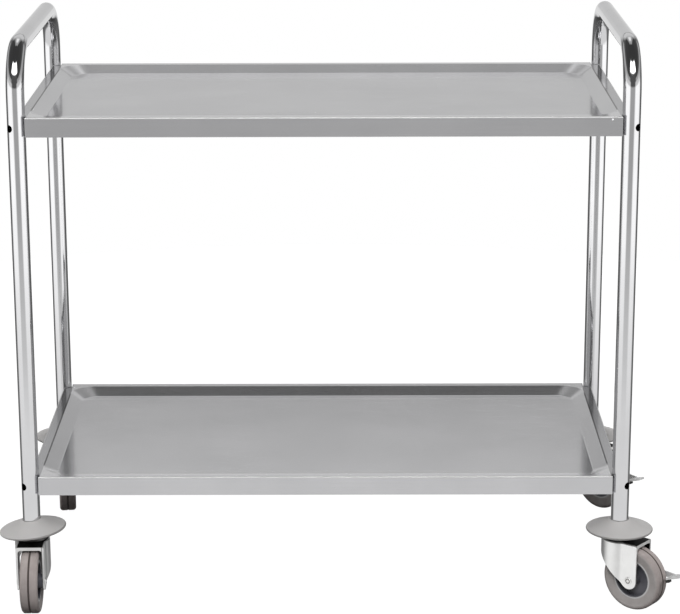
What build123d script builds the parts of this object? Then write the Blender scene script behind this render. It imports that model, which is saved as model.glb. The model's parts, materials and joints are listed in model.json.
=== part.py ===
from build123d import *
import math
import os

# Two-tier serving trolley: two bent-tube end frames, two pressed trays and four swivel casters.
# Millimetres. The origin is on the floor at the middle of the plan.
# +X runs along the trolley to the right, +Y to the back and +Z up.

# End frames: one bent tube each
TUBE_OD = 28.6
TUBE_WALL = 1.2
POST_SPACING_X = 954.0
POST_SPACING_Y = 480.0
HANDLE_TOP = 928.0
HANDLE_BEND_RADIUS = 70.0

# Shelves: pressed sheet trays whose corners are drawn in round the posts
SHEET = 1.0
HANDLE_ABOVE_UPPER_RIM = 118.0
LOWER_RIM_Z = 223.0
SKIRT_HEIGHT = 31.0
SKIRT_OVERHANG = 13.5
END_SKIRT_INSET = 1.0
SHELF_TO_POST_GAP = 0.05
FOLD_RADIUS = 2.0
HEM_WIDTH = 10.0
RIM_WIDTH = 16.0
PAN_DEPTH = 12.0
PAN_WALL_RUN = 22.0
PAN_CORNER_RADIUS = 40.0
PAN_BEND_RADIUS = 3.0
HANGING_HOLE_DIAMETER = 3.2
HANGING_HOLE_FROM_END = 16.0
HANGING_HOLE_BELOW_RIM = 4.8

# Stiffening channels welded under each pan
CHANNEL_CROWN = 30.0
CHANNEL_FLANGE = 12.0
CHANNEL_HEIGHT = 14.0
CHANNEL_SPACING = 220.0
CHANNEL_END_GAP = 45.0

# Shelf bolts, set diagonally with their heads inside the tube, and weld nuts behind the tray corners
BOLT_DIAMETER = 6.0
BOLT_HEAD_DIAMETER = 10.0
BOLT_HEAD_HEIGHT = 6.0
BOLT_SOCKET_ACROSS_FLATS = 5.0
BOLT_SOCKET_DEPTH = 3.0
BOLT_ABOVE_SKIRT_EDGE = 13.0
BOLT_BEYOND_NUT = 2.0
BOLT_HOLE_CLEARANCE = 0.3
ACCESS_HOLE_CLEARANCE = 1.0
WELD_NUT_WIDTH = 10.0
WELD_NUT_HEIGHT = 5.0

# Small fits
THREAD_CLEARANCE = 0.05
RUNNING_CLEARANCE = 0.05
SEAT_CLEARANCE = 0.05
MOVING_GAP = 0.3

# How far cutting shapes run past the faces that they cut
CUT_MARGIN = 1.0

# Threaded inserts in the leg ends
INSERT_DEPTH = 28.0
INSERT_FLANGE_DIAMETER = 37.0
INSERT_FLANGE = 1.5

# Bumper discs round the legs
BUMPER_DIAMETER = 108.0
BUMPER_HEIGHT = 20.7
BUMPER_RIM_RISE = 4.0
BUMPER_DOME_FULLNESS = 0.36
BUMPER_RIM_THICKNESS = 3.5
BUMPER_WALL = 3.5
BUMPER_HUB_WALL = 3.2
BUMPER_LIP = 5.0
BUMPER_LIP_CLEARANCE = 0.6
BUMPER_HUB_CLEARANCE = 2.2

# Wheels
WHEEL_DIAMETER = 104.0
TYRE_WIDTH = 29.0
TYRE_TREAD_WIDTH = 20.0
TYRE_SHOULDER_DROP = 7.0
TYRE_SHOULDER_FULLNESS = 0.72
TYRE_GROOVE_WIDTH = 2.4
TYRE_GROOVE_DEPTH = 1.2
CORE_DIAMETER = 68.0
CORE_WIDTH = 24.0
CORE_RIM = 5.0
CORE_WEB = 7.0
HUB_DIAMETER = 24.0
HUB_END_GAP = 0.5
BUSH_DIAMETER = 12.0

# Axles: rivets with a shallow dimple in each head
AXLE_DIAMETER = 8.0
AXLE_DIMPLE_DIAMETER = 4.5
AXLE_DIMPLE_DEPTH = 0.7
AXLE_HEAD_DIAMETER = 12.5
AXLE_HEAD_HEIGHT = 1.4
AXLE_HEAD_ROUNDING = 0.9

# Forks
TRAIL = 33.0
FORK_SHEET = 3.0
FORK_WIDTH = 45.0
FORK_CROWN_DIAMETER = 57.0
FORK_NECK_RADIUS = 12.0
FORK_BOSS_RADIUS = 14.0
FORK_BACK_HEIGHT = 18.0
FORK_BACK_RADIUS = 20.0
FORK_BEND_RADIUS = 3.5
FORK_MOUTH_RADIUS = 5.0
FORK_FRONT_LIP = 2.5
WHEEL_TO_FORK_GAP = 8.0

# Swivel bearings
BALL_DIAMETER = 5.0
BALL_COUNT = 10
BALL_CIRCLE_DIAMETER = 36.0
RACE_GROOVE_WIDTH = 5.0
RACE_GROOVE_DEPTH = 0.8
RACE_SHEET = 2.0
RACE_DIAMETER = 50.0
RACE_RIM_GAP = 0.8

# Caster stems
STEM_DIAMETER = 12.0
STEM_LENGTH = 25.0
COLLAR_ACROSS_FLATS = 24.0
COLLAR_HEIGHT = 3.0
KINGPIN_HEAD_DIAMETER = 18.0
KINGPIN_HEAD = 3.0

# Brakes: a cranked lever on the fork's outer cheek, with its foot tab beyond the tyre
LEVER_SHEET = 2.5
LEVER_PIVOT_FORWARD = 6.0
LEVER_PIVOT_ABOVE_AXLE = 28.0
LEVER_EYE_RADIUS = 7.0
LEVER_ELBOW_FORWARD = 34.0
LEVER_ELBOW_ABOVE_AXLE = 9.0
LEVER_ELBOW_RADIUS = 5.0
LEVER_ARM_END_FORWARD = 56.5
LEVER_ARM_END_ABOVE_AXLE = 8.0
LEVER_ARM_END_RADIUS = 4.0
LEVER_TAB_LENGTH = 24.0
LEVER_TAB_WIDTH = 24.0
LEVER_TAB_TIP_WIDTH = 16.0
LEVER_TAB_TIP_RADIUS = 5.0
LEVER_TAB_SLOPE = 17.0
PAD_WIDTH = 8.0
PAD_LENGTH = 4.5
PAD_HEIGHT = 5.0
PAD_UPPER_REACH = 1.0
PAD_LOWER_REACH = 2.1
RIVET_DIAMETER = 6.0
RIVET_HEAD_DIAMETER = 11.0
RIVET_HEAD = 1.8

# Where each caster stands, which way its wheel trails and how its bumper leans
CORNERS = {
    "front_left": {"x": -1, "y": -1, "trail_angle": -89.0, "bumper_lean": 5.5, "brake": False},
    "front_right": {"x": 1, "y": -1, "trail_angle": -38.0, "bumper_lean": 0.0, "brake": True},
    "rear_left": {"x": -1, "y": 1, "trail_angle": -83.0, "bumper_lean": 0.0, "brake": False},
    "rear_right": {"x": 1, "y": 1, "trail_angle": -45.0, "bumper_lean": 0.0, "brake": True},
}

# Heights worked out from the floor up
TUBE_RADIUS = TUBE_OD / 2
TUBE_BORE_RADIUS = TUBE_RADIUS - TUBE_WALL
AXLE_Z = WHEEL_DIAMETER / 2
FORK_INSIDE_Z = WHEEL_DIAMETER + WHEEL_TO_FORK_GAP
FORK_TOP_Z = FORK_INSIDE_Z + FORK_SHEET
BALL_Z = FORK_TOP_Z - RACE_GROOVE_DEPTH + BALL_DIAMETER / 2
RACE_UNDERSIDE_Z = BALL_Z + BALL_DIAMETER / 2 + RUNNING_CLEARANCE - RACE_GROOVE_DEPTH
RACE_TOP_Z = RACE_UNDERSIDE_Z + RACE_SHEET
COLLAR_TOP_Z = RACE_TOP_Z + COLLAR_HEIGHT
LEG_BOTTOM_Z = COLLAR_TOP_Z + INSERT_FLANGE
UPPER_RIM_Z = HANDLE_TOP - HANDLE_ABOVE_UPPER_RIM

# Sizes that several pieces share
SHELF_LENGTH = POST_SPACING_X - 2 * END_SKIRT_INSET
SHELF_DEPTH = POST_SPACING_Y + 2 * SKIRT_OVERHANG
POST_SEAT_RADIUS = TUBE_RADIUS + SHELF_TO_POST_GAP
FORK_INSIDE_WIDTH = FORK_WIDTH - 2 * FORK_SHEET
STUD_RADIUS = STEM_DIAMETER / 2

ON_FLOOR = (Align.CENTER, Align.CENTER, Align.MIN)


def disc(radius, bottom, top):
    """Upright cylinder between two heights."""
    return Pos(0, 0, bottom) * Cylinder(radius, top - bottom, align=ON_FLOOR)


def ring(outer_radius, inner_radius, bottom, top):
    """Upright ring between two heights."""
    return disc(outer_radius, bottom, top) - disc(inner_radius, bottom - CUT_MARGIN, top + CUT_MARGIN)


def hexagon(across_flats, bottom, top):
    """Upright hexagonal bar between two heights."""
    outline = RegularPolygon(across_flats / 2, 6, major_radius=False)
    return extrude(Pos(0, 0, bottom) * outline, top - bottom)


def slab(length, depth, bottom, top):
    """Upright block centred on the origin, between two heights."""
    return Pos(0, 0, bottom) * Box(length, depth, top - bottom, align=ON_FLOOR)


def at_posts():
    """Side and depth signs of the four posts."""
    return [(corner["x"], corner["y"]) for corner in CORNERS.values()]


def toward_middle(side, depth):
    """Turn a piece made along +Z so that it points from a post diagonally in under the tray."""
    return Rot(0, 0, math.degrees(math.atan2(-depth, -side))) * Rot(0, 90, 0)


def at_corner_bolts(rim_z, piece):
    """Repeat a piece made along +Z at the four corner bolts of a shelf."""
    height = rim_z - SKIRT_HEIGHT + BOLT_ABOVE_SKIRT_EDGE
    repeats = []
    for side, depth in at_posts():
        post = Pos(side * POST_SPACING_X / 2, depth * POST_SPACING_Y / 2, height)
        repeats.append(post * toward_middle(side, depth) * piece)
    return repeats


# End frames
def bent_tube(radius):
    handle_z = HANDLE_TOP - TUBE_RADIUS
    half = POST_SPACING_Y / 2
    corners = [(0, -half, LEG_BOTTOM_Z), (0, -half, handle_z), (0, half, handle_z), (0, half, LEG_BOTTOM_Z)]
    path = FilletPolyline(*corners, radius=HANDLE_BEND_RADIUS)
    section = Pos(*corners[0]) * Circle(radius)
    return sweep(section, path=path)


def end_frame(side):
    frame = bent_tube(TUBE_RADIUS) - bent_tube(TUBE_BORE_RADIUS)
    access_radius = BOLT_HEAD_DIAMETER / 2 + ACCESS_HOLE_CLEARANCE
    bolt_radius = BOLT_DIAMETER / 2 + BOLT_HOLE_CLEARANCE
    access = disc(access_radius, -2 * TUBE_RADIUS, 0)
    passage = disc(bolt_radius, 0, 2 * TUBE_RADIUS)
    frame = Pos(side * POST_SPACING_X / 2, 0, 0) * frame
    for rim_z in (UPPER_RIM_Z, LOWER_RIM_Z):
        for drill in at_corner_bolts(rim_z, access + passage):
            frame -= drill
    return frame


# Shelves
def pan_form(top, deepest):
    """Block of the pan's shape: a rounded rectangle that draws in on its way down."""
    opening_length = SHELF_LENGTH - 2 * RIM_WIDTH
    opening_depth = SHELF_DEPTH - 2 * RIM_WIDTH
    opening = RectangleRounded(opening_length, opening_depth, PAN_CORNER_RADIUS)
    base_length = opening_length - 2 * PAN_WALL_RUN
    base_depth = opening_depth - 2 * PAN_WALL_RUN
    base = RectangleRounded(base_length, base_depth, PAN_CORNER_RADIUS - PAN_WALL_RUN / 2)
    return loft([Pos(0, 0, top) * opening, Pos(0, 0, deepest) * base])


def tray_plan(inset):
    """Plan of a tray, drawn in all round: a rectangle with a rounded seat for a post at each corner."""
    plan = Rectangle(SHELF_LENGTH - 2 * inset, SHELF_DEPTH - 2 * inset)
    seat = POST_SEAT_RADIUS + inset
    for side, depth in at_posts():
        way_in = Pos(0, depth * SHELF_DEPTH / 4) * Rectangle(2 * seat, SHELF_DEPTH / 2)
        plan -= Pos(side * POST_SPACING_X / 2, depth * POST_SPACING_Y / 2) * (Circle(seat) + way_in)
    return plan


def shelf(rim_z, hanging_hole):
    bottom = rim_z - SKIRT_HEIGHT
    outside = extrude(Pos(0, 0, bottom) * tray_plan(0), SKIRT_HEIGHT)
    outside = fillet(outside.edges().filter_by_position(Axis.Z, rim_z, rim_z), FOLD_RADIUS)
    inside = extrude(Pos(0, 0, bottom + SHEET) * tray_plan(SHEET), SKIRT_HEIGHT - 2 * SHEET)
    hem_opening = extrude(Pos(0, 0, bottom - SHEET) * tray_plan(SHEET + HEM_WIDTH), 3 * SHEET)
    tray = outside - inside - hem_opening
    tray += pan_form(rim_z - SHEET, rim_z - SHEET - PAN_DEPTH)
    hollow = pan_form(rim_z, rim_z - PAN_DEPTH)
    floor_edges = hollow.edges().filter_by_position(Axis.Z, rim_z - PAN_DEPTH, rim_z - PAN_DEPTH)
    tray -= fillet(floor_edges, PAN_BEND_RADIUS)
    bolt_radius = BOLT_DIAMETER / 2 + BOLT_HOLE_CLEARANCE
    for drill in at_corner_bolts(rim_z, disc(bolt_radius, 0, POST_SEAT_RADIUS + 2 * SHEET)):
        tray -= drill
    if hanging_hole:
        skirt_end = POST_SPACING_X / 2 - POST_SEAT_RADIUS
        place = (skirt_end - HANGING_HOLE_FROM_END, -SHELF_DEPTH / 2, rim_z - HANGING_HOLE_BELOW_RIM)
        tray -= Pos(*place) * Rot(90, 0, 0) * disc(HANGING_HOLE_DIAMETER / 2, -2 * SHEET, SHEET)
    return tray


def channel(rim_z):
    """Hat-shaped stiffener along X, its flanges against the underside of the pan."""
    top = rim_z - PAN_DEPTH - SHEET
    low = top - CHANNEL_HEIGHT
    crown = CHANNEL_CROWN / 2
    edge = crown + CHANNEL_FLANGE
    outline = Polyline(
        (-edge, top), (-crown + SHEET, top), (-crown + SHEET, low + SHEET),
        (crown - SHEET, low + SHEET), (crown - SHEET, top), (edge, top),
        (edge, top - SHEET), (crown, top - SHEET), (crown, low),
        (-crown, low), (-crown, top - SHEET), (-edge, top - SHEET), close=True)
    base_length = SHELF_LENGTH - 2 * (RIM_WIDTH + PAN_WALL_RUN)
    length = base_length - 2 * CHANNEL_END_GAP
    return extrude(Plane.YZ * make_face(outline), length / 2, both=True)


def shelf_channels(rim_z):
    return [Pos(0, side * CHANNEL_SPACING / 2, 0) * channel(rim_z) for side in (-1, 1)]


def shelf_bolts(rim_z):
    head_radius = BOLT_HEAD_DIAMETER / 2
    head_seat = math.sqrt(TUBE_BORE_RADIUS ** 2 - head_radius ** 2) - SEAT_CLEARANCE
    tip = POST_SEAT_RADIUS + SHEET + WELD_NUT_HEIGHT + BOLT_BEYOND_NUT
    head_end = head_seat - BOLT_HEAD_HEIGHT
    bolt = disc(head_radius, head_end, head_seat) + disc(BOLT_DIAMETER / 2, head_seat, tip)
    bolt -= hexagon(BOLT_SOCKET_ACROSS_FLATS, head_end - CUT_MARGIN, head_end + BOLT_SOCKET_DEPTH)
    return at_corner_bolts(rim_z, bolt)


def shelf_nuts(rim_z):
    seat = POST_SEAT_RADIUS + SHEET + SEAT_CLEARANCE
    nut = slab(WELD_NUT_WIDTH, WELD_NUT_WIDTH, seat, seat + WELD_NUT_HEIGHT)
    nut -= disc(BOLT_DIAMETER / 2 + THREAD_CLEARANCE, 0, seat + 2 * WELD_NUT_HEIGHT)
    return at_corner_bolts(rim_z, nut)


def leg_inserts():
    top = LEG_BOTTOM_Z + INSERT_DEPTH
    plug = disc(TUBE_BORE_RADIUS - SEAT_CLEARANCE, LEG_BOTTOM_Z, top)
    plug += disc(INSERT_FLANGE_DIAMETER / 2, LEG_BOTTOM_Z - INSERT_FLANGE, LEG_BOTTOM_Z)
    plug -= disc(STUD_RADIUS + THREAD_CLEARANCE, COLLAR_TOP_Z - CUT_MARGIN, top + CUT_MARGIN)
    inserts = []
    for side, depth in at_posts():
        inserts.append(Pos(side * POST_SPACING_X / 2, depth * POST_SPACING_Y / 2, 0) * plug)
    return inserts


# Bumpers
def bumper(lean):
    """Shallow domed disc with a hub that stands on the leg insert's flange."""
    rim = BUMPER_DIAMETER / 2
    lip = TUBE_RADIUS + BUMPER_LIP_CLEARANCE
    bore = TUBE_RADIUS + BUMPER_HUB_CLEARANCE
    hub = bore + BUMPER_HUB_WALL
    rim_low = BUMPER_RIM_RISE - BUMPER_RIM_THICKNESS / 2
    rim_high = BUMPER_RIM_RISE + BUMPER_RIM_THICKNESS / 2
    rim_round = BUMPER_RIM_THICKNESS / 2
    dome_middle = (rim + hub) / 2
    dome_rise = rim_high + BUMPER_DOME_FULLNESS * (BUMPER_HEIGHT - rim_high)
    outline = [
        Line((hub, 0), (hub, BUMPER_HEIGHT - 2 * BUMPER_WALL)),
        ThreePointArc((hub, BUMPER_HEIGHT - 2 * BUMPER_WALL), (dome_middle, dome_rise - BUMPER_WALL),
                      (rim - 2 * BUMPER_WALL, rim_low)),
        Line((rim - 2 * BUMPER_WALL, rim_low), (rim - rim_round, rim_low)),
        ThreePointArc((rim - rim_round, rim_low), (rim, BUMPER_RIM_RISE), (rim - rim_round, rim_high)),
        ThreePointArc((rim - rim_round, rim_high), (dome_middle, dome_rise), (bore, BUMPER_HEIGHT)),
        Line((bore, BUMPER_HEIGHT), (lip, BUMPER_HEIGHT)),
        Line((lip, BUMPER_HEIGHT), (lip, BUMPER_HEIGHT - BUMPER_LIP)),
        Line((lip, BUMPER_HEIGHT - BUMPER_LIP), (bore, BUMPER_HEIGHT - BUMPER_LIP)),
        Line((bore, BUMPER_HEIGHT - BUMPER_LIP), (bore, 0)),
        Line((bore, 0), (hub, 0)),
    ]
    dome = revolve(Plane.XZ * make_face(outline), Axis.Z)
    lift = hub * math.sin(math.radians(lean))
    pivot = BUMPER_HEIGHT - BUMPER_LIP / 2
    leaned = Pos(0, 0, pivot + lift) * Rot(0, -lean, 0) * Pos(0, 0, -pivot) * dome
    return Pos(0, 0, LEG_BOTTOM_Z) * leaned


# Casters, each made with its swivel axis on Z and its wheel trailing along +X
def caster_stem():
    kingpin_end = FORK_INSIDE_Z - RUNNING_CLEARANCE
    stem = disc(STUD_RADIUS, kingpin_end, COLLAR_TOP_Z + STEM_LENGTH)
    stem += hexagon(COLLAR_ACROSS_FLATS, RACE_TOP_Z, COLLAR_TOP_Z)
    stem += disc(KINGPIN_HEAD_DIAMETER / 2, kingpin_end - KINGPIN_HEAD, kingpin_end)
    return stem


def swivel_race():
    race = disc(RACE_DIAMETER / 2, FORK_TOP_Z + RACE_RIM_GAP, RACE_TOP_Z)
    race -= disc(RACE_DIAMETER / 2 - RACE_SHEET, FORK_TOP_Z, RACE_UNDERSIDE_Z)
    race -= race_groove(RACE_UNDERSIDE_Z - RACE_GROOVE_DEPTH, RACE_UNDERSIDE_Z + RACE_GROOVE_DEPTH)
    return race - disc(STUD_RADIUS + SEAT_CLEARANCE, FORK_TOP_Z, RACE_TOP_Z + CUT_MARGIN)


def race_groove(bottom, top):
    middle = BALL_CIRCLE_DIAMETER / 2
    return ring(middle + RACE_GROOVE_WIDTH / 2, middle - RACE_GROOVE_WIDTH / 2, bottom, top)


def swivel_balls():
    circle = PolarLocations(BALL_CIRCLE_DIAMETER / 2, BALL_COUNT)
    return [Pos(0, 0, BALL_Z) * place * Sphere(BALL_DIAMETER / 2) for place in circle]


def fork_plan(inset):
    """Round crown with a narrower strip running forward over the wheel, drawn in all round."""
    front = TRAIL + FORK_BOSS_RADIUS - inset
    half_width = FORK_WIDTH / 2 - inset
    strip = Pos(front / 2, 0) * Rectangle(front, 2 * half_width)
    plan = Circle(FORK_CROWN_DIAMETER / 2 - inset) + strip
    necks = [corner for corner in plan.vertices() if 0 < corner.X < front - FORK_SHEET]
    return fillet(necks, FORK_NECK_RADIUS + inset)


def fork_side():
    """Side view of the cheeks: upright at the front, slanting from the crown's back to the axle boss."""
    front = TRAIL + FORK_BOSS_RADIUS
    back = -FORK_CROWN_DIAMETER / 2 - CUT_MARGIN
    back_low = FORK_TOP_Z - FORK_BACK_HEIGHT
    reach = math.hypot(TRAIL - back, AXLE_Z - back_low)
    slant = math.atan2(AXLE_Z - back_low, TRAIL - back) - math.asin(FORK_BOSS_RADIUS / reach)
    run = math.sqrt(reach ** 2 - FORK_BOSS_RADIUS ** 2)
    tangent = (back + run * math.cos(slant), back_low + run * math.sin(slant))
    lowest = (TRAIL, AXLE_Z - FORK_BOSS_RADIUS)
    outline = [
        Line((front, AXLE_Z), (front, FORK_TOP_Z + CUT_MARGIN)),
        Line((front, FORK_TOP_Z + CUT_MARGIN), (back, FORK_TOP_Z + CUT_MARGIN)),
        Line((back, FORK_TOP_Z + CUT_MARGIN), (back, back_low)),
        Line((back, back_low), tangent),
        ThreePointArc(tangent, lowest, (front, AXLE_Z)),
    ]
    side = make_face(outline)
    heel = side.vertices().sort_by_distance((back, back_low))[0]
    return fillet(heel, FORK_BACK_RADIUS)


def fork(brake):
    plan_bottom = AXLE_Z - FORK_BOSS_RADIUS
    front = TRAIL + FORK_BOSS_RADIUS
    outside = extrude(Pos(0, 0, plan_bottom) * fork_plan(0), FORK_TOP_Z - plan_bottom)
    top_edges = outside.edges().filter_by_position(Axis.Z, FORK_TOP_Z, FORK_TOP_Z)
    folded = [edge for edge in top_edges if edge.center().X < front - FORK_SHEET]
    outside = fillet(folded, FORK_BEND_RADIUS)
    cut_bottom = plan_bottom - CUT_MARGIN
    inside = extrude(Pos(0, 0, cut_bottom) * fork_plan(FORK_SHEET), FORK_INSIDE_Z - cut_bottom)
    mouth_top = FORK_INSIDE_Z - FORK_FRONT_LIP
    mouth = Pos(front, 0, 0) * slab(4 * FORK_SHEET, FORK_INSIDE_WIDTH, cut_bottom, mouth_top)
    mouth_edges = mouth.edges().filter_by(Axis.X).filter_by_position(Axis.Z, mouth_top, mouth_top)
    mouth = fillet(mouth_edges, FORK_MOUTH_RADIUS)
    cheeks = extrude(Plane.XZ * fork_side(), FORK_CROWN_DIAMETER, both=True)
    body = (outside - inside - mouth) & cheeks
    body -= disc(STUD_RADIUS + RUNNING_CLEARANCE, FORK_INSIDE_Z - CUT_MARGIN, FORK_TOP_Z + CUT_MARGIN)
    body -= race_groove(FORK_TOP_Z - RACE_GROOVE_DEPTH, FORK_TOP_Z + CUT_MARGIN)
    body -= on_axle(disc(AXLE_DIAMETER / 2 + SEAT_CLEARANCE, -FORK_WIDTH, FORK_WIDTH))
    if brake:
        body -= on_lever_pivot(disc(RIVET_DIAMETER / 2 + SEAT_CLEARANCE, 0, FORK_WIDTH))
    return body


def on_axle(piece):
    """Lay a piece that was made along +Z on the axle, pointing to the fork's outer cheek."""
    return Pos(TRAIL, 0, AXLE_Z) * Rot(-90, 0, 0) * piece


def on_lever_pivot(piece):
    """Lay a piece that was made along +Z on the brake lever's pivot."""
    return Pos(TRAIL + LEVER_PIVOT_FORWARD, 0, AXLE_Z + LEVER_PIVOT_ABOVE_AXLE) * Rot(-90, 0, 0) * piece


def axle_rivet():
    """Rod through both cheeks, its ends set over into low rounded heads."""
    cheek = FORK_WIDTH / 2
    end = cheek + AXLE_HEAD_HEIGHT
    head = disc(AXLE_HEAD_DIAMETER / 2, cheek, end)
    head = fillet(head.edges().sort_by(Axis.Z)[-1], AXLE_HEAD_ROUNDING)
    half = disc(AXLE_DIAMETER / 2, 0, end) + head
    half -= disc(AXLE_DIMPLE_DIAMETER / 2, end - AXLE_DIMPLE_DEPTH, end + CUT_MARGIN)
    return on_axle(half + mirror(half, Plane.XY))


def wheel_bush():
    half = FORK_INSIDE_WIDTH / 2
    return on_axle(ring(BUSH_DIAMETER / 2, AXLE_DIAMETER / 2 + SEAT_CLEARANCE, -half, half))


def wheel_core():
    outer = CORE_DIAMETER / 2
    hub = HUB_DIAMETER / 2
    hub_half = FORK_INSIDE_WIDTH / 2 - HUB_END_GAP
    bore = BUSH_DIAMETER / 2 + RUNNING_CLEARANCE
    core = ring(outer, outer - CORE_RIM, -CORE_WIDTH / 2, CORE_WIDTH / 2)
    core += ring(outer - CORE_RIM, bore, -CORE_WEB / 2, CORE_WEB / 2)
    core += ring(hub, bore, -hub_half, hub_half)
    return on_axle(core)


def tyre():
    """Rubber ring with rounded shoulders and a parting groove round the middle of the tread."""
    inner = CORE_DIAMETER / 2
    outer = WHEEL_DIAMETER / 2
    base = CORE_WIDTH / 2
    bulge = TYRE_WIDTH / 2
    tread = TYRE_TREAD_WIDTH / 2
    groove = TYRE_GROOVE_WIDTH / 2
    shoulder = outer - TYRE_SHOULDER_DROP
    shoulder_middle = (shoulder + TYRE_SHOULDER_FULLNESS * TYRE_SHOULDER_DROP,
                       tread + TYRE_SHOULDER_FULLNESS * (bulge - tread))
    half = [
        Line((inner, 0), (inner, base)),
        Line((inner, base), (shoulder, bulge)),
        ThreePointArc((shoulder, bulge), shoulder_middle, (outer, tread)),
        Line((outer, tread), (outer, groove)),
        Line((outer, groove), (outer - TYRE_GROOVE_DEPTH, 0)),
        Line((outer - TYRE_GROOVE_DEPTH, 0), (inner, 0)),
    ]
    face = make_face(half)
    section = face + mirror(face, Plane.XZ)
    return on_axle(revolve(Plane.XZ * section, Axis.Z))


# Brakes
def lever_outside():
    """Distance from the fork's middle to the inner face of the brake lever."""
    return FORK_WIDTH / 2 + MOVING_GAP


def lever_limb(start, start_radius, end, end_radius):
    """Tapered strip with round ends, in the side view of the caster."""
    length = math.hypot(end[0] - start[0], end[1] - start[1])
    angle = math.degrees(math.atan2(end[1] - start[1], end[0] - start[0]))
    taper = Polyline((0, start_radius), (length, end_radius), (length, -end_radius), (0, -start_radius), close=True)
    strip = Circle(start_radius) + make_face(taper) + Pos(length, 0) * Circle(end_radius)
    return Pos(*start) * Rot(0, 0, angle) * strip


def brake_lever():
    pivot = (TRAIL + LEVER_PIVOT_FORWARD, AXLE_Z + LEVER_PIVOT_ABOVE_AXLE)
    elbow = (TRAIL + LEVER_ELBOW_FORWARD, AXLE_Z + LEVER_ELBOW_ABOVE_AXLE)
    end = (TRAIL + LEVER_ARM_END_FORWARD, AXLE_Z + LEVER_ARM_END_ABOVE_AXLE)
    outline = lever_limb(pivot, LEVER_EYE_RADIUS, elbow, LEVER_ELBOW_RADIUS)
    outline += lever_limb(elbow, LEVER_ELBOW_RADIUS, end, LEVER_ARM_END_RADIUS)
    arm = extrude(outline, LEVER_SHEET)
    arm = Pos(0, lever_outside() + LEVER_SHEET, 0) * Rot(90, 0, 0) * arm
    arm -= on_lever_pivot(disc(RIVET_DIAMETER / 2 + RUNNING_CLEARANCE, 0, 2 * FORK_WIDTH))
    return arm + foot_tab(extrude(tab_outline(), LEVER_SHEET))


def tab_outline():
    """Plan of the foot tab: straight root at x = 0, tapering to a rounded tip."""
    root = LEVER_TAB_WIDTH / 2
    tip = LEVER_TAB_TIP_WIDTH / 2
    outline = Polyline((0, root), (LEVER_TAB_LENGTH, tip), (LEVER_TAB_LENGTH, -tip), (0, -root), close=True)
    tab = make_face(outline)
    tips = [corner for corner in tab.vertices() if corner.X > LEVER_TAB_LENGTH / 2]
    return fillet(tips, LEVER_TAB_TIP_RADIUS)


def foot_tab(piece):
    """Carry a piece from the foot tab's own plane to the end of the lever arm."""
    middle = lever_outside() + LEVER_SHEET - LEVER_TAB_WIDTH / 2
    place = Pos(TRAIL + LEVER_ARM_END_FORWARD, middle, AXLE_Z + LEVER_ARM_END_ABOVE_AXLE)
    return place * Rot(0, -LEVER_TAB_SLOPE, 0) * piece


def brake_pad():
    """Rubber wedge under the inner edge of the foot tab, its sloping face toward the tread."""
    side = Polyline((-PAD_UPPER_REACH, 0), (PAD_LENGTH, 0), (PAD_LENGTH, -PAD_HEIGHT),
                    (-PAD_LOWER_REACH, -PAD_HEIGHT), close=True)
    wedge = extrude(Plane.XZ * make_face(side), PAD_WIDTH / 2, both=True)
    return foot_tab(Pos(0, (PAD_WIDTH - LEVER_TAB_WIDTH) / 2, 0) * wedge)


def brake_rivet():
    shank = RIVET_DIAMETER / 2
    head = RIVET_HEAD_DIAMETER / 2
    inner = FORK_INSIDE_WIDTH / 2
    outer = lever_outside() + LEVER_SHEET + RUNNING_CLEARANCE
    rivet = disc(shank, inner, outer)
    rivet += disc(head, inner - RIVET_HEAD, inner)
    rivet += disc(head, outer, outer + RIVET_HEAD)
    return on_lever_pivot(rivet)


def caster_pieces(brake):
    pieces = {
        "caster_stem": caster_stem(),
        "swivel_race": swivel_race(),
        "swivel_balls": swivel_balls(),
        "fork": fork(brake),
        "axle_rivet": axle_rivet(),
        "wheel_bush": wheel_bush(),
        "wheel_core": wheel_core(),
        "tyre": tyre(),
    }
    if brake:
        pieces["brake_lever"] = brake_lever()
        pieces["brake_pad"] = brake_pad()
        pieces["brake_rivet"] = brake_rivet()
    return pieces


def placed(place, piece):
    """Put one piece, or each of a group, in its place."""
    if isinstance(piece, list):
        return [place * one for one in piece]
    return place * piece


def trolley():
    nodes = {
        "left_end_frame": end_frame(-1),
        "right_end_frame": end_frame(1),
        "leg_inserts": leg_inserts(),
    }
    for tier, rim_z in (("upper", UPPER_RIM_Z), ("lower", LOWER_RIM_Z)):
        nodes[tier + "_shelf"] = shelf(rim_z, hanging_hole=tier == "upper")
        nodes[tier + "_shelf_stiffeners"] = shelf_channels(rim_z)
        nodes[tier + "_shelf_bolts"] = shelf_bolts(rim_z)
        nodes[tier + "_shelf_nuts"] = shelf_nuts(rim_z)
    for name, corner in CORNERS.items():
        leg = Pos(corner["x"] * POST_SPACING_X / 2, corner["y"] * POST_SPACING_Y / 2, 0)
        nodes[name + "_bumper"] = leg * bumper(corner["bumper_lean"])
        for piece_name, piece in caster_pieces(corner["brake"]).items():
            nodes[name + "_" + piece_name] = placed(leg * Rot(0, 0, corner["trail_angle"]), piece)
    return nodes


os.makedirs("parts", exist_ok=True)
for node, solids in trolley().items():
    shape = Compound(solids) if isinstance(solids, list) else solids
    export_step(shape, os.path.join("parts", node + ".step"))
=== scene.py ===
import json
import math

import bpy
from mathutils import Matrix, Vector


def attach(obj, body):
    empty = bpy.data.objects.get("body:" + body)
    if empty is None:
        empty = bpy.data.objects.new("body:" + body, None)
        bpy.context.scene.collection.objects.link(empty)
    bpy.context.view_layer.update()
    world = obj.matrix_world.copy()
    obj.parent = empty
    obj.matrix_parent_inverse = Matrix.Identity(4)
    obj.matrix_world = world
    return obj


# Two-tier serving trolley: finishes, spot welds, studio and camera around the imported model.
# Metres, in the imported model's own frame.

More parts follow.
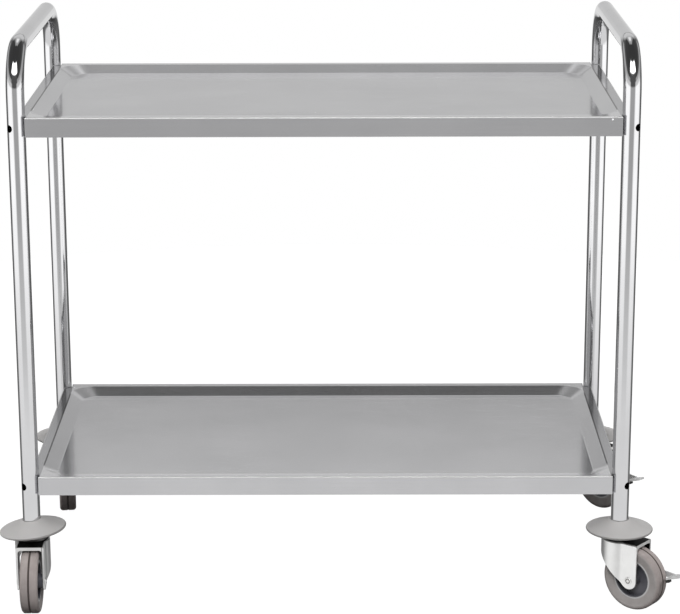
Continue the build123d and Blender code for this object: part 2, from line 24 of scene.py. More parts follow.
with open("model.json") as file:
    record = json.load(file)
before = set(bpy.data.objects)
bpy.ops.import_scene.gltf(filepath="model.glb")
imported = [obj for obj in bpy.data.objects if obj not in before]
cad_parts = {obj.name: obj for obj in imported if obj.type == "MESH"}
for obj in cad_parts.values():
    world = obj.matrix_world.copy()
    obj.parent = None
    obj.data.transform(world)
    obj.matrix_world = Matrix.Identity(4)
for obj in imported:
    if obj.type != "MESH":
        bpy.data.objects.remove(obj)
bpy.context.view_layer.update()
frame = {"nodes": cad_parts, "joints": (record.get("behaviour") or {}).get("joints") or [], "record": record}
scene = bpy.context.scene

# Camera, at the place that the photograph was taken from
CAMERA_PLACE = Vector((0.0342, -3.8673, 1.5))
CAMERA_YAW = -0.0027
CAMERA_PITCH = 0.2684
CAMERA_ROLL = 0.0029
FOCAL_LENGTH_PIXELS = 2375.7
PHOTO_WIDTH = 680
SENSOR_WIDTH = 36.0

# Finishes change over zones. A zone is the pair of distances where a change begins and where it is complete.
# Tray zones below the rim, and the rims' heights
RIM_HEIGHTS = {"upper_shelf": 0.810, "lower_shelf": 0.223}
RIM_FACE = (0.0001, 0.0003)
CREASE_FOOT = (0.0008, 0.0010)
FOLD_FOOT = (0.0020, 0.0024)

# Tray zones along its length, from its middle
CREASE_START = (0.4588, 0.4591)
END_RIM_START = (0.4597, 0.4600)
CREASE_END = (0.4609, 0.4612)
FOLD_AT_ENDS = (0.4736, 0.4750)

# Tray zones across its depth, from its centre line
CREASE_CORNER = (0.1885, 0.1985)
FOLD_AT_SIDES = (0.2511, 0.2525)

# Wheel zones, along the axle from the wheel's middle
SEAM_EDGE = (0.0013, 0.0019)
CORE_RIM_FACE = (0.0116, 0.0118)

# Wheel zones, outwards from the axle
LIP_EDGE = (0.0306, 0.0308)
BEAD_EDGE = (0.0325, 0.0335)
TREAD_START = (0.0465, 0.0495)

# Fork zones: along the axle from the wheel's middle, where the painted shade begins and ends, and the height
# of the crown's top
SHADE_ZONE_START = (0.0185, 0.0190)
SHADE_ZONE_END = (0.0195, 0.0199)
CROWN_TOP = (0.1146, 0.1149)

# Axle rivet zones, outwards from the axle
RIVET_RING_START = (0.0022, 0.0026)
RIVET_RING_END = (0.0042, 0.0048)

# Bumper zone, outwards from the leg's axis
BUMPER_EDGE = (0.0525, 0.0535)

# Parts of the noise's range that grain and marks are drawn from
GRAIN_RANGE = (0.3, 0.7)
MARKS_RANGE = (0.35, 0.7)

# Spot welds under the pans, on the flanges of the stiffeners
STIFFENER_FROM_MIDDLE = 0.110
FLANGE_FROM_CROWN = 0.021
FLANGE_BELOW_RIM = 0.01398
WELDS_IN_ROW = 14
WELD_SPACING = 0.058
WELD_FOOT_RADIUS = 0.0034
WELD_TOP_RADIUS = 0.0024
WELD_HEIGHT = 0.0003
WELD_SIDES = 16
POINTING_DOWN = (math.pi, 0.0, 0.0)
WELD_INPUTS = [
    ("Geometry", "NodeSocketGeometry"), ("Marks in Row", "NodeSocketInt"), ("Spacing", "NodeSocketFloat"),
    ("Foot Radius", "NodeSocketFloat"), ("Top Radius", "NodeSocketFloat"), ("Height", "NodeSocketFloat"),
    ("Finish", "NodeSocketMaterial"),
]

# Studio
FLOOR_RADIUS = 2.2
FLOOR_SIDES = 96
FLOOR_COLOUR = (0.05, 0.05, 0.05, 1.0)
FLOOR_ROUGHNESS = 0.9
WHITE = (1.0, 1.0, 1.0, 1.0)
SOFT_FILL = (0.05, 0.05, 0.05, 1.0)

# Lamps: name, place, the point that it faces, width and height, and watts
LAMPS = [
    ("key", (0.0, -2.0, 1.6), (0.0, 0.0, 0.3), (0.9, 1.2), 42.0),
    ("overhead", (0.0, -0.3, 2.9), (0.0, 0.0, 0.0), (0.9, 2.2), 18.0),
    ("back", (0.0, 2.4, 0.9), (0.0, 0.0, 0.2), (1.4, 0.8), 40.0),
    ("left", (-2.4, 0.12, 1.1), (0.0, 0.12, 0.2), (0.4, 0.8), 20.0),
    ("right", (2.4, 0.12, 1.1), (0.0, 0.12, 0.2), (0.4, 0.8), 20.0),
]

# Greys that more than one ring of sky begins with, as pairs of heading and grey.
# Headings go from the front (0) to the back (1).
FLOOR_GREYS = [(0.0, 0.88), (0.50, 0.88), (0.64, 0.20)]
ROOM_GREYS = [(0.0, 0.46), (0.04, 0.46), (0.10, 1.35), (0.50, 1.35), (0.58, 0.90), (0.68, 0.12),
              (0.95, 0.12)]
WALL_GREYS = [(0.0, 0.10), (0.08, 0.10), (0.13, 0.45), (0.90, 0.45), (0.93, 0.10)]
WINDOW_GREYS = [(0.0, 3.6), (0.09, 3.6), (0.15, 0.05), (0.94, 0.06), (0.975, 0.42)]

# What the steel reflects, as rings of sky from below upwards. Each has the zone of elevations, as sines,
# over which it takes the place of the ring below it, and then its greys.
SKY_RINGS = [
    ((-1.00, -0.90), FLOOR_GREYS + [(0.95, 0.06)]),
    ((-0.55, -0.45), FLOOR_GREYS + [(0.95, 0.12), (0.985, 0.80)]),
    ((-0.31, -0.22), ROOM_GREYS + [(0.985, 0.80)]),
    ((-0.04, 0.01), ROOM_GREYS + [(0.985, 0.66)]),
    ((0.08, 0.14), [(0.0, 0.10), (0.04, 0.10), (0.10, 0.75), (0.50, 0.75), (0.58, 0.50), (0.90, 0.45),
                    (0.93, 0.15), (0.97, 0.63)]),
    ((0.24, 0.28), WALL_GREYS + [(0.97, 0.33)]),
    ((0.305, 0.317), WALL_GREYS + [(0.97, 0.70)]),
    ((0.36, 0.40), [(0.0, 0.10), (0.08, 0.10), (0.12, 0.06), (0.92, 0.10), (0.97, 0.70)]),
    ((0.55, 0.61), WINDOW_GREYS + [(0.994, 0.62)]),
    ((0.68, 0.73), WINDOW_GREYS + [(0.985, 0.45), (0.994, 1.05)]),
    ((0.84, 0.89), [(0.0, 0.05), (0.94, 0.05), (0.975, 0.45)]),
    ((0.93, 0.955), [(0.0, 0.05), (1.0, 0.05)]),
]


# Node helpers
def add_node(tree, kind, **settings):
    node = tree.nodes.new(kind)
    for name, value in settings.items():
        setattr(node, name, value)
    return node


def put(node, **values):
    """Set input sockets by name, with spaces written as underscores."""
    for name, value in values.items():
        node.inputs[name.replace("_", " ")].default_value = value
    return node


def feed(tree, socket, value):
    """Link a socket to another one, or set it to a plain value."""
    if isinstance(value, bpy.types.NodeSocket):
        tree.links.new(value, socket)
    else:
        socket.default_value = value


def number_math(tree, operation, *values):
    node = add_node(tree, "ShaderNodeMath", operation=operation)
    for socket, value in zip(node.inputs, values):
        feed(tree, socket, value)
    return node.outputs[0]


def vector_math(tree, operation, *values):
    node = add_node(tree, "ShaderNodeVectorMath", operation=operation)
    for socket, value in zip(node.inputs, values):
        feed(tree, socket, value)
    return node.outputs["Value" if operation in ("DOT_PRODUCT", "LENGTH") else "Vector"]


def spread(tree, value, span, target):
    """Map a value from one span to another, with the ends held."""
    node = add_node(tree, "ShaderNodeMapRange")
    put(node, From_Min=span[0], From_Max=span[1], To_Min=target[0], To_Max=target[1])
    tree.links.new(value, node.inputs["Value"])
    return node.outputs["Result"]


def fade_in(tree, value, zone):
    """Mask that is 0 before a zone and 1 past it."""
    return spread(tree, value, zone, (0.0, 1.0))


def fade_out(tree, value, zone):
    """Mask that is 1 before a zone and 0 past it."""
    return spread(tree, value, zone, (1.0, 0.0))


def overlap(tree, *masks):
    """Mask of the places where all the given masks show."""
    shown = masks[0]
    for mask in masks[1:]:
        shown = number_math(tree, "MULTIPLY", shown, mask)
    return shown


# A Mix node has sockets for every data type under the same names, so both functions take them by number
def mix_colour(tree, factor, first, second):
    node = add_node(tree, "ShaderNodeMix", data_type="RGBA")
    feed(tree, node.inputs[0], factor)
    feed(tree, node.inputs[6], first)
    feed(tree, node.inputs[7], second)
    return node.outputs[2]


def mix_value(tree, factor, first, second):
    node = add_node(tree, "ShaderNodeMix", data_type="FLOAT")
    feed(tree, node.inputs[0], factor)
    feed(tree, node.inputs[2], first)
    feed(tree, node.inputs[3], second)
    return node.outputs[0]


def grey_ramp(tree, factor, stops):
    """Colour ramp of greys from (place, grey) pairs."""
    node = add_node(tree, "ShaderNodeValToRGB")
    ramp = node.color_ramp
    while len(ramp.elements) < len(stops):
        ramp.elements.new(0.5)
    for element, (place, grey) in zip(ramp.elements, stops):
        element.position = place
        element.color = (grey, grey, grey, 1.0)
    tree.links.new(factor, node.inputs[0])
    return node.outputs["Color"]


# Shared surface effects
def start_group(name, inputs, outputs):
    """Shader node group with named inputs and value outputs, on the part's own coordinates."""
    tree = bpy.data.node_groups.new(name, "ShaderNodeTree")
    for label, kind, value in inputs:
        socket = tree.interface.new_socket(label, in_out="INPUT", socket_type=kind)
        socket.default_value = value
    for label in outputs:
        tree.interface.new_socket(label, in_out="OUTPUT", socket_type="NodeSocketFloat")
    source = add_node(tree, "NodeGroupInput")
    sink = add_node(tree, "NodeGroupOutput")
    coordinates = add_node(tree, "ShaderNodeTexCoord").outputs["Object"]
    return tree, source, sink, coordinates


def make_grain_lines():
    """Fine drawn-out lines, as a brush or a mould leaves them."""
    tree, source, sink, coordinates = start_group(
        "grain_lines", [("Stretch", "NodeSocketVector", (5.0, 600.0, 600.0))], ["Lines"])
    stretched = vector_math(tree, "MULTIPLY", coordinates, source.outputs["Stretch"])
    noise = put(add_node(tree, "ShaderNodeTexNoise"), Scale=1.0, Detail=3.0, Roughness=0.6)
    tree.links.new(stretched, noise.inputs["Vector"])
    tree.links.new(noise.outputs[0], sink.inputs["Lines"])
    return tree


def make_handling_marks():
    """Broad soft smudges from hands and wiping."""
    tree, source, sink, coordinates = start_group(
        "handling_marks", [("Per Metre", "NodeSocketFloat", 14.0)], ["Marks"])
    noise = put(add_node(tree, "ShaderNodeTexNoise"), Detail=4.0, Roughness=0.55)
    tree.links.new(coordinates, noise.inputs["Vector"])
    tree.links.new(source.outputs["Per Metre"], noise.inputs["Scale"])
    tree.links.new(fade_in(tree, noise.outputs[0], MARKS_RANGE), sink.inputs["Marks"])
    return tree


def make_wheel_rings():
    """Distance from an axle, distance along it from the middle, and height."""
    tree, source, sink, coordinates = start_group(
        "wheel_rings", [("Centre", "NodeSocketVector", (0, 0, 0)), ("Axle", "NodeSocketVector", (1, 0, 0))],
        ["Radius", "Side", "Height"])
    arm = vector_math(tree, "SUBTRACT", coordinates, source.outputs["Centre"])
    side = vector_math(tree, "DOT_PRODUCT", arm, source.outputs["Axle"])
    along = vector_math(tree, "MULTIPLY", source.outputs["Axle"], side)
    spoke = vector_math(tree, "SUBTRACT", arm, along)
    height = add_node(tree, "ShaderNodeSeparateXYZ")
    tree.links.new(coordinates, height.inputs[0])
    tree.links.new(vector_math(tree, "LENGTH", spoke), sink.inputs["Radius"])
    tree.links.new(side, sink.inputs["Side"])
    tree.links.new(height.outputs["Z"], sink.inputs["Height"])
    return tree


def make_edge_fold():
    """Masks of a tray's rim, the rim's ends, the creases inside those, and the fold down to the skirt."""
    tree, source, sink, coordinates = start_group(
        "edge_fold", [("Rim Height", "NodeSocketFloat", 0.81)], ["Rim", "End Rim", "Crease", "Fold"])
    part = add_node(tree, "ShaderNodeSeparateXYZ")
    tree.links.new(vector_math(tree, "ABSOLUTE", coordinates), part.inputs[0])
    from_middle = part.outputs["X"]
    from_centre_line = part.outputs["Y"]
    below = number_math(tree, "SUBTRACT", source.outputs["Rim Height"], part.outputs["Z"])
    rim = fade_out(tree, below, RIM_FACE)
    end_rim = overlap(tree, rim, fade_in(tree, from_middle, END_RIM_START))
    crease = overlap(
        tree, fade_in(tree, from_middle, CREASE_START), fade_out(tree, from_middle, CREASE_END),
        fade_out(tree, below, CREASE_FOOT), fade_out(tree, from_centre_line, CREASE_CORNER))
    near_end = fade_in(tree, from_middle, FOLD_AT_ENDS)
    near_side = fade_in(tree, from_centre_line, FOLD_AT_SIDES)
    outer = number_math(tree, "MAXIMUM", near_end, near_side)
    fold = overlap(tree, outer, fade_out(tree, below, FOLD_FOOT))
    tree.links.new(rim, sink.inputs["Rim"])
    tree.links.new(end_rim, sink.inputs["End Rim"])
    tree.links.new(crease, sink.inputs["Crease"])
    tree.links.new(fold, sink.inputs["Fold"])
    return tree


GRAIN_LINES = make_grain_lines()
EDGE_FOLD = make_edge_fold()
HANDLING_MARKS = make_handling_marks()
WHEEL_RINGS = make_wheel_rings()


def use_group(tree, group, **values):
    node = add_node(tree, "ShaderNodeGroup", node_tree=group)
    return put(node, **values)


# Finishes
def start_material(name, metallic):
    material = bpy.data.materials.new(name)
    material.use_nodes = True
    tree = material.node_tree
    shader = tree.nodes["Principled BSDF"]
    shader.inputs["Metallic"].default_value = metallic
    return material, tree, shader


def make_finish(name, metallic, colours, roughness, stretch, marks_per_metre, bump):
    """Finish with two-tone marks, roughness that follows its grain, and a fine bump."""
    material, tree, shader = start_material(name, metallic)
    lines = use_group(tree, GRAIN_LINES, Stretch=stretch).outputs["Lines"]
    marks = use_group(tree, HANDLING_MARKS, Per_Metre=marks_per_metre).outputs["Marks"]
    strength, distance = bump
    relief = put(add_node(tree, "ShaderNodeBump"), Strength=strength, Distance=distance)
    tree.links.new(lines, relief.inputs["Height"])
    tree.links.new(relief.outputs["Normal"], shader.inputs["Normal"])
    tree.links.new(mix_colour(tree, marks, colours[0], colours[1]), shader.inputs["Base Color"])
    tree.links.new(spread(tree, lines, GRAIN_RANGE, roughness), shader.inputs["Roughness"])
    return material


def start_variant(finish, name):
    """Copy of a finish, with its nodes, its shader and the colour that it has so far."""
    material = finish.copy()
    material.name = name
    tree = material.node_tree
    shader = tree.nodes["Principled BSDF"]
    bare = shader.inputs["Base Color"].links[0].from_socket
    return material, tree, shader, bare


def make_tray_finish(name, rim_height):
    """Brushed sheet with painted light: a painted highlight on the rim, painted shade on the rim's ends and
    in the creases inside them, and a painted highlight along the outer fold, where the sheet is also
    rougher.
    """
    material, tree, shader, bare = start_variant(BRUSHED_SHEET, name)
    brushed = shader.inputs["Roughness"].links[0].from_socket
    edge = use_group(tree, EDGE_FOLD, Rim_Height=rim_height)
    fold = edge.outputs["Fold"]
    # Painted highlight on the rim, which is coloured lighter than the sheet
    lit_rim = mix_colour(tree, edge.outputs["Rim"], bare, RIM_HIGHLIGHT)
    # Painted shade on the rim's ends, which are coloured darker than the rest of the rim
    shaded_ends = mix_colour(tree, edge.outputs["End Rim"], lit_rim, END_RIM_SHADE)
    # Painted shade in the creases inside the rim's ends
    shaded_creases = mix_colour(tree, edge.outputs["Crease"], shaded_ends, CREASE_SHADE)
    # Painted highlight along the outer fold, which is also made rougher
    tree.links.new(mix_colour(tree, fold, shaded_creases, FOLD_HIGHLIGHT), shader.inputs["Base Color"])
    tree.links.new(mix_value(tree, fold, brushed, FOLD_ROUGHNESS), shader.inputs["Roughness"])
    return material


def make_tyre_finish(name, wheel_centre, axle):
    """Grey rubber, with a brownish worn tread and painted shade in the seam round its middle."""
    material, tree, shader, sidewall = start_variant(GREY_RUBBER, name)
    put(shader, Specular_IOR_Level=RUBBER_SHINE)
    rings = use_group(tree, WHEEL_RINGS, Centre=wheel_centre, Axle=axle)
    marks = use_group(tree, HANDLING_MARKS, Per_Metre=RUBBER_MARKS).outputs["Marks"]
    seam = fade_out(tree, number_math(tree, "ABSOLUTE", rings.outputs["Side"]), SEAM_EDGE)
    worn = mix_colour(tree, marks, TREAD_DARK, TREAD_PALE)
    # Painted shade in the seam round the tread's middle
    tread = mix_colour(tree, seam, worn, SEAM_SHADE)
    outer = fade_in(tree, rings.outputs["Radius"], TREAD_START)
    tree.links.new(mix_colour(tree, outer, sidewall, tread), shader.inputs["Base Color"])
    return material


def make_core_finish(name, wheel_centre, axle):
    """Dark moulded core, with the tyre's grey lip lapped over its rim and a pale bead at the lip's edge."""
    material, tree, shader, bare = start_variant(CORE_PLASTIC, name)
    rings = use_group(tree, WHEEL_RINGS, Centre=wheel_centre, Axle=axle)
    radius = rings.outputs["Radius"]
    marks = use_group(tree, HANDLING_MARKS, Per_Metre=RUBBER_MARKS).outputs["Marks"]
    on_rim = fade_in(tree, number_math(tree, "ABSOLUTE", rings.outputs["Side"]), CORE_RIM_FACE)
    lip = overlap(tree, on_rim, fade_in(tree, radius, LIP_EDGE))
    rubber = mix_colour(tree, marks, SIDEWALL_DARK, SIDEWALL_PALE)
    lapped = mix_colour(tree, fade_out(tree, radius, BEAD_EDGE), rubber, PALE_BEAD)
    tree.links.new(mix_colour(tree, lip, bare, lapped), shader.inputs["Base Color"])
    return material


def make_fork_finish(name, wheel_centre, axle):
    """Bright zinc, with painted shade inside the outer cheek and on the crown's top."""
    material, tree, shader, bare = start_variant(ZINC, name)
    rings = use_group(tree, WHEEL_RINGS, Centre=wheel_centre, Axle=axle)
    past_tyre = fade_in(tree, rings.outputs["Side"], SHADE_ZONE_START)
    short_of_edge = fade_out(tree, rings.outputs["Side"], SHADE_ZONE_END)
    on_top = fade_in(tree, rings.outputs["Height"], CROWN_TOP)
    # Painted shade inside the outer cheek and on the crown's top
    shade_mask = number_math(tree, "MULTIPLY_ADD", past_tyre, short_of_edge, on_top)
    tree.links.new(mix_colour(tree, shade_mask, bare, PAINTED_FORK_SHADE), shader.inputs["Base Color"])
    return material


def make_rivet_finish(name, wheel_centre, axle):
    """Bright zinc with a ring of painted shade round the dimple."""
    material, tree, shader, bare = start_variant(ZINC, name)
    radius = use_group(tree, WHEEL_RINGS, Centre=wheel_centre, Axle=axle).outputs["Radius"]
    ring = overlap(tree, fade_in(tree, radius, RIVET_RING_START), fade_out(tree, radius, RIVET_RING_END))
    # Painted shade in a ring round the dimple
    tree.links.new(mix_colour(tree, ring, bare, RIVET_RING_SHADE), shader.inputs["Base Color"])
    return material


def make_bumper_finish(name, leg_foot):
    """Soft grey plastic with painted shade on its outer edge."""
    material, tree, shader, bare = start_variant(BUMPER_PLASTIC, name)
    rings = use_group(tree, WHEEL_RINGS, Centre=leg_foot, Axle=(0.0, 0.0, 1.0))
    edge = fade_in(tree, rings.outputs["Radius"], BUMPER_EDGE)
    # Painted shade on the bumper's outer edge
    tree.links.new(mix_colour(tree, edge, bare, BUMPER_RIM_SHADE), shader.inputs["Base Color"])
    return material


# Colours and values of worn and dirty places, and of painted highlights and painted shade
# Painted highlight on the trays' rims
RIM_HIGHLIGHT = (0.69, 0.69, 0.70, 1)
# Painted shade on the rims' ends
END_RIM_SHADE = (0.44, 0.44, 0.45, 1)
# Painted shade in the creases inside the rims' ends
CREASE_SHADE = (0.07, 0.07, 0.07, 1)
# Painted highlight along the trays' outer folds, with a rougher finish there
FOLD_HIGHLIGHT = (0.74, 0.74, 0.74, 1)
FOLD_ROUGHNESS = 0.42
SIDEWALL_DARK = (0.365, 0.34, 0.33, 1)
SIDEWALL_PALE = (0.42, 0.395, 0.385, 1)
TREAD_DARK = (0.34, 0.302, 0.291, 1)
TREAD_PALE = (0.395, 0.351, 0.34, 1)
# Painted shade in the seam round the tread's middle
SEAM_SHADE = (0.10, 0.085, 0.08, 1)
PALE_BEAD = (0.52, 0.52, 0.52, 1)
RUBBER_MARKS = 70.0
RUBBER_SHINE = 0.08
# Painted shade inside the forks' outer cheeks and on the crowns' tops
PAINTED_FORK_SHADE = (0.03, 0.029, 0.028, 1)
# Painted shade in a ring round each axle rivet's dimple
RIVET_RING_SHADE = (0.30, 0.29, 0.28, 1)
# Painted shade on the bumpers' outer edges
BUMPER_RIM_SHADE = (0.25, 0.245, 0.24, 1)

# Plain finishes, with each bump's strength and distance
TUBE_STEEL = make_finish(
    "polished_tube", metallic=1.0, colours=((0.69, 0.69, 0.70, 1), (0.74, 0.74, 0.75, 1)),
    roughness=(0.05, 0.09), stretch=(260.0, 260.0, 12.0), marks_per_metre=9.0, bump=(0.015, 0.0004))
BRUSHED_SHEET = make_finish(
    "brushed_tray", metallic=0.88, colours=((0.55, 0.55, 0.56, 1), (0.60, 0.60, 0.61, 1)),
    roughness=(0.10, 0.16), stretch=(5.0, 620.0, 620.0), marks_per_metre=6.0, bump=(0.05, 0.0005))
WELD_STEEL = make_finish(
    "heat_tinted_welds", metallic=1.0, colours=((0.34, 0.31, 0.29, 1), (0.46, 0.43, 0.40, 1)),
    roughness=(0.35, 0.5), stretch=(900.0, 900.0, 900.0), marks_per_metre=90.0, bump=(0.1, 0.0003))
FASTENER_STEEL = make_finish(
    "plated_fasteners", metallic=1.0, colours=((0.60, 0.60, 0.60, 1), (0.70, 0.70, 0.70, 1)),
    roughness=(0.22, 0.36), stretch=(700.0, 700.0, 700.0), marks_per_metre=90.0, bump=(0.05, 0.0003))
# Near-black steel, for the swivel races
DARK_RACE_STEEL = make_finish(
    "dark_race_steel", metallic=1.0, colours=((0.10, 0.10, 0.10, 1), (0.16, 0.155, 0.15, 1)),
    roughness=(0.3, 0.45), stretch=(500.0, 500.0, 500.0), marks_per_metre=60.0, bump=(0.05, 0.0003))
ZINC = make_finish(
    "bright_zinc", metallic=1.0, colours=((0.84, 0.84, 0.83, 1), (0.90, 0.90, 0.89, 1)),
    roughness=(0.38, 0.48), stretch=(420.0, 420.0, 90.0), marks_per_metre=40.0, bump=(0.02, 0.0003))
MATT_ZINC = make_finish(
    "matt_zinc", metallic=0.35, colours=((0.55, 0.55, 0.55, 1), (0.62, 0.62, 0.62, 1)),
    roughness=(0.45, 0.6), stretch=(420.0, 420.0, 420.0), marks_per_metre=50.0, bump=(0.05, 0.0003))
CORE_PLASTIC = make_finish(
    "dark_core", metallic=0.0, colours=((0.065, 0.065, 0.075, 1), (0.085, 0.085, 0.098, 1)),
    roughness=(0.34, 0.5), stretch=(800.0, 800.0, 800.0), marks_per_metre=60.0, bump=(0.1, 0.0004))
BUMPER_PLASTIC = make_finish(
    "soft_grey_plastic", metallic=0.0, colours=((0.44, 0.43, 0.425, 1), (0.47, 0.46, 0.455, 1)),
    roughness=(0.42, 0.55), stretch=(900.0, 900.0, 900.0), marks_per_metre=30.0, bump=(0.12, 0.0004))
INSERT_PLASTIC = make_finish(
    "moulded_insert", metallic=0.0, colours=((0.30, 0.30, 0.30, 1), (0.34, 0.34, 0.34, 1)),
    roughness=(0.4, 0.5), stretch=(900.0, 900.0, 900.0), marks_per_metre=30.0, bump=(0.12, 0.0004))
GREY_RUBBER = make_finish(
    "grey_rubber", metallic=0.0, colours=(SIDEWALL_DARK, SIDEWALL_PALE),
    roughness=(0.55, 0.72), stretch=(700.0, 700.0, 700.0), marks_per_metre=RUBBER_MARKS, bump=(0.2, 0.0005))
BLACK_RUBBER = make_finish(
    "black_rubber", metallic=0.0, colours=((0.02, 0.02, 0.02, 1), (0.035, 0.034, 0.033, 1)),
    roughness=(0.6, 0.75), stretch=(800.0, 800.0, 800.0), marks_per_metre=60.0, bump=(0.2, 0.0004))

# Finishes by the record's material slots
FINISHES = {
    "tube_steel": TUBE_STEEL,
    "tray_steel": BRUSHED_SHEET,
    "zinc_steel": ZINC,
    "fastener_steel": FASTENER_STEEL,
    "bumper_grey": BUMPER_PLASTIC,
    "moulded_grey": INSERT_PLASTIC,
    "core_black": CORE_PLASTIC,
    "pad_black": BLACK_RUBBER,
}


def dress_node(node, material):
    materials = frame["nodes"][node].data.materials
    materials.clear()
    materials.append(material)


def dress_wheel_pieces(corner, wheel_centre, axle):
    dress_node(corner + "_tyre", make_tyre_finish(corner + "_rubber", wheel_centre, axle))
    dress_node(corner + "_wheel_core", make_core_finish(corner + "_core", wheel_centre, axle))
    dress_node(corner + "_fork", make_fork_finish(corner + "_zinc", wheel_centre, axle))
    dress_node(corner + "_axle_rivet", make_rivet_finish(corner + "_rivet", wheel_centre, axle))


def dress_cad_nodes():
    for part in frame["record"]["subparts"]:
        if part["material_slot"] in FINISHES:
            dress_node(part["node"], FINISHES[part["material_slot"]])
    for shelf, rim_height in RIM_HEIGHTS.items():
        dress_node(shelf, make_tray_finish("brushed_" + shelf, rim_height))
    for joint in frame["joints"]:
        corner, piece = joint["name"].rsplit("_", 2)[:2]
        if piece == "wheel":
            dress_wheel_pieces(corner, joint["pos_m"], joint["axis"])
        elif piece == "swivel":
            dress_node(corner + "_bumper", make_bumper_finish(corner + "_plastic", joint["pos_m"]))
            dress_node(corner + "_swivel_race", DARK_RACE_STEEL)
        elif piece == "brake":
            dress_node(corner + "_brake_lever", MATT_ZINC)


# Spot welds: rows of small round marks that hold the stiffeners' flanges to the pans
def make_weld_rows_tree():
    """Rows of round marks from one starting point each, running along X."""
    tree = bpy.data.node_groups.new("weld_rows", "GeometryNodeTree")
    sockets = {}
    for label, kind in WELD_INPUTS:
        sockets[label] = tree.interface.new_socket(label, in_out="INPUT", socket_type=kind).identifier
    tree.interface.new_socket("Geometry", in_out="OUTPUT", socket_type="NodeSocketGeometry")
    source = add_node(tree, "NodeGroupInput")
    sink = add_node(tree, "NodeGroupOutput")
    step = add_node(tree, "ShaderNodeCombineXYZ")
    row = add_node(tree, "GeometryNodeMeshLine")
    rows = add_node(tree, "GeometryNodeInstanceOnPoints")
    loose_rows = add_node(tree, "GeometryNodeRealizeInstances")
    mark = put(add_node(tree, "GeometryNodeMeshCone"), Vertices=WELD_SIDES)
    marks = put(add_node(tree, "GeometryNodeInstanceOnPoints"), Rotation=POINTING_DOWN)
    solid_marks = add_node(tree, "GeometryNodeRealizeInstances")
    finish = add_node(tree, "GeometryNodeSetMaterial")
    for output, socket in (
            (source.outputs["Spacing"], step.inputs["X"]),
            (source.outputs["Marks in Row"], row.inputs["Count"]),
            (step.outputs[0], row.inputs["Offset"]),
            (source.outputs["Geometry"], rows.inputs["Points"]),
            (row.outputs[0], rows.inputs["Instance"]),
            (rows.outputs[0], loose_rows.inputs[0]),
            (source.outputs["Foot Radius"], mark.inputs["Radius Bottom"]),
            (source.outputs["Top Radius"], mark.inputs["Radius Top"]),
            (source.outputs["Height"], mark.inputs["Depth"]),
            (loose_rows.outputs[0], marks.inputs["Points"]),
            (mark.outputs[0], marks.inputs["Instance"]),
            (marks.outputs[0], solid_marks.inputs[0]),
            (solid_marks.outputs[0], finish.inputs["Geometry"]),
            (source.outputs["Finish"], finish.inputs["Material"]),
            (finish.outputs[0], sink.inputs[0])):
        tree.links.new(output, socket)
    return tree, sockets


def make_spot_welds():
    tree, sockets = make_weld_rows_tree()
    first = -WELD_SPACING * (WELDS_IN_ROW - 1) / 2
    starts = []
    for rim_height in RIM_HEIGHTS.values():
        for middle in (-STIFFENER_FROM_MIDDLE, STIFFENER_FROM_MIDDLE):
            for flange in (-FLANGE_FROM_CROWN, FLANGE_FROM_CROWN):
                starts.append((first, middle + flange, rim_height - FLANGE_BELOW_RIM))
    points = bpy.data.meshes.new("weld_row_starts")
    points.from_pydata(starts, [], [])
    holder = bpy.data.objects.new("weld_row_starts", points)
    scene.collection.objects.link(holder)
    modifier = holder.modifiers.new("weld_rows", "NODES")
    modifier.node_group = tree
    settings = {
        "Marks in Row": WELDS_IN_ROW, "Spacing": WELD_SPACING, "Foot Radius": WELD_FOOT_RADIUS,
        "Top Radius": WELD_TOP_RADIUS, "Height": WELD_HEIGHT, "Finish": WELD_STEEL,
    }
    for label, value in settings.items():
        modifier[sockets[label]] = value
    evaluated = holder.evaluated_get(bpy.context.evaluated_depsgraph_get())
    welds = bpy.data.objects.new("spot_welds", bpy.data.meshes.new_from_object(evaluated))
    scene.collection.objects.link(welds)
    bpy.data.objects.remove(holder)
    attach(welds, "frame")


# Studio: a floor that looks white, lamps for the rubber and plastic, and a sky for the steel to reflect
def make_floor():
    """Dark floor that glows white to the camera alone, so that it lights nothing."""
    bpy.ops.mesh.primitive_circle_add(
        vertices=FLOOR_SIDES, radius=FLOOR_RADIUS, fill_type="NGON", location=(0, 0, 0))
    floor = bpy.context.object
    floor.name = "floor"
    material, tree, shader = start_material("pale_floor", 0.0)
    put(shader, Base_Color=FLOOR_COLOUR, Roughness=FLOOR_ROUGHNESS, Emission_Color=WHITE)
    seen = add_node(tree, "ShaderNodeLightPath").outputs["Is Camera Ray"]
    tree.links.new(seen, shader.inputs["Emission Strength"])
    floor.data.materials.append(material)
    floor.visible_glossy = False


def make_lamp(name, place, aim, size, power):
    light = bpy.data.lights.new(name, "AREA")
    light.shape = "RECTANGLE"
    light.size, light.size_y = size
    light.energy = power
    lamp = bpy.data.objects.new(name, light)
    scene.collection.objects.link(lamp)
    lamp.location = place
    lamp.rotation_euler = (Vector(aim) - Vector(place)).to_track_quat("-Z", "Y").to_euler()
    lamp.visible_glossy = False
    lamp.visible_camera = False


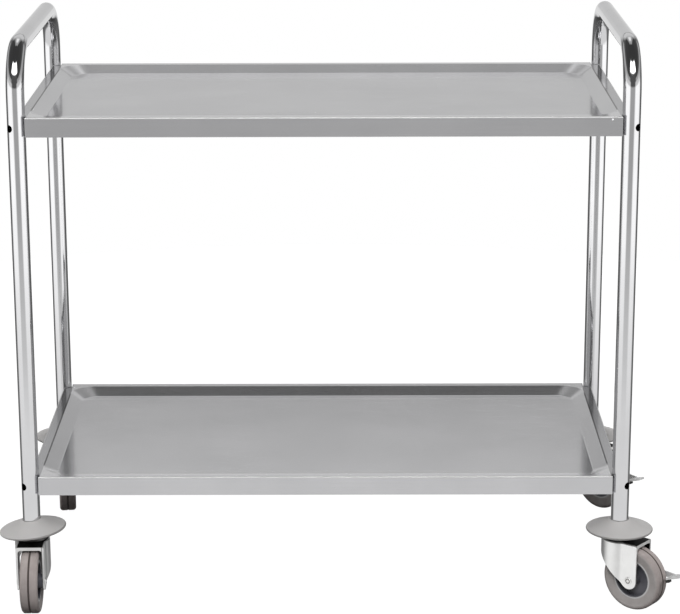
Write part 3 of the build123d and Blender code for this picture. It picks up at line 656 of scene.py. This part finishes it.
def make_world():
    """Sky for reflections, a weak even fill for soft light, and white for the camera."""
    world = bpy.data.worlds.new("studio")
    scene.world = world
    world.use_nodes = True
    tree = world.node_tree
    tree.nodes.clear()
    direction = add_node(tree, "ShaderNodeTexCoord").outputs["Generated"]
    height = add_node(tree, "ShaderNodeSeparateXYZ")
    tree.links.new(direction, height.inputs[0])
    level = vector_math(tree, "MULTIPLY", direction, (1.0, 1.0, 0.0))
    heading = vector_math(tree, "NORMALIZE", level)
    to_back = fade_in(tree, vector_math(tree, "DOT_PRODUCT", heading, (0.0, 1.0, 0.0)), (-1.0, 1.0))
    sky = WHITE
    for zone, greys in SKY_RINGS:
        shown = fade_in(tree, height.outputs["Z"], zone)
        sky = mix_colour(tree, shown, sky, grey_ramp(tree, to_back, greys))
    rays = add_node(tree, "ShaderNodeLightPath")
    lit = mix_colour(tree, rays.outputs["Is Diffuse Ray"], sky, SOFT_FILL)
    background = add_node(tree, "ShaderNodeBackground")
    tree.links.new(mix_colour(tree, rays.outputs["Is Camera Ray"], lit, WHITE), background.inputs["Color"])
    output = add_node(tree, "ShaderNodeOutputWorld")
    tree.links.new(background.outputs[0], output.inputs["Surface"])


def make_camera():
    lens = bpy.data.cameras.new("photo_camera")
    lens.sensor_fit = "HORIZONTAL"
    lens.sensor_width = SENSOR_WIDTH
    lens.lens = FOCAL_LENGTH_PIXELS * SENSOR_WIDTH / PHOTO_WIDTH
    camera = bpy.data.objects.new("photo_camera", lens)
    scene.collection.objects.link(camera)
    slope = math.cos(CAMERA_PITCH)
    forward = Vector((math.sin(CAMERA_YAW) * slope, math.cos(CAMERA_YAW) * slope, -math.sin(CAMERA_PITCH)))
    level = Vector((math.cos(CAMERA_YAW), -math.sin(CAMERA_YAW), 0.0))
    down = forward.cross(level)
    right = level * math.cos(CAMERA_ROLL) + down * math.sin(CAMERA_ROLL)
    up = level * math.sin(CAMERA_ROLL) - down * math.cos(CAMERA_ROLL)
    turn = Matrix((right, up, -forward)).transposed().to_4x4()
    camera.matrix_world = Matrix.Translation(CAMERA_PLACE) @ turn
    scene.camera = camera


dress_cad_nodes()
make_spot_welds()
make_floor()
for lamp_values in LAMPS:
    make_lamp(*lamp_values)
make_world()
make_camera()
scene.view_settings.view_transform = "Standard"
